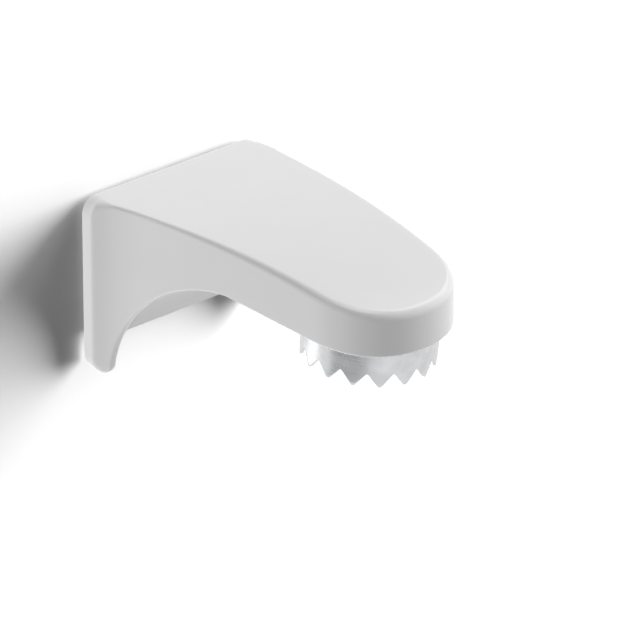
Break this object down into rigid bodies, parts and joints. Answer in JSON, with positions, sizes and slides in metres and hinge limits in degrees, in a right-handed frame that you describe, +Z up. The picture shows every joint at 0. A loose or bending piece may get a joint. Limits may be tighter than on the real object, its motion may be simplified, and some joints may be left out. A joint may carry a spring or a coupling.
{
  "type": "magnetic soap holder",
  "caption": "Wall-mounted soap holder: a white arched plastic bracket with a magnet under its round end, and a toothed steel cap that is pressed into a bar of soap",
  "frame": {"origin": "centre of the wall pad's face, which lies on the wall", "axes": "+Y points into the wall, the arm reaches out towards -Y, +Z is up, and the part is symmetric in X"},
  "size_m": [0.048, 0.0773, 0.0385],
  "materials": {
    "white_plastic": "smooth white moulding, soft gloss",
    "cover_plastic": "smooth white moulding, a little less gloss",
    "zinc_steel": "zinc-plated pressed steel",
    "nickel_plate": "nickel-plated magnet",
    "screw_steel": "plated steel screw",
    "foam_tape": "white foam tape, matt",
    "stainless_steel": "bright pressed stainless steel"
  },
  "bodies": {
    "bracket": {"bracket_shell": "white_plastic", "underside_cover": "cover_plastic", "magnet_cup": "zinc_steel", "magnet_ring": "nickel_plate", "magnet_screw": "screw_steel", "wall_pad": "foam_tape"},
    "cap": {"soap_cap": "stainless_steel"}
  },
  "joints": [
    {"name": "cap_pull", "type": "slide", "parent": "bracket", "child": "cap", "axis": [0, 0.1176, -0.9931], "range_m": [0, 0.03]}
  ]
}
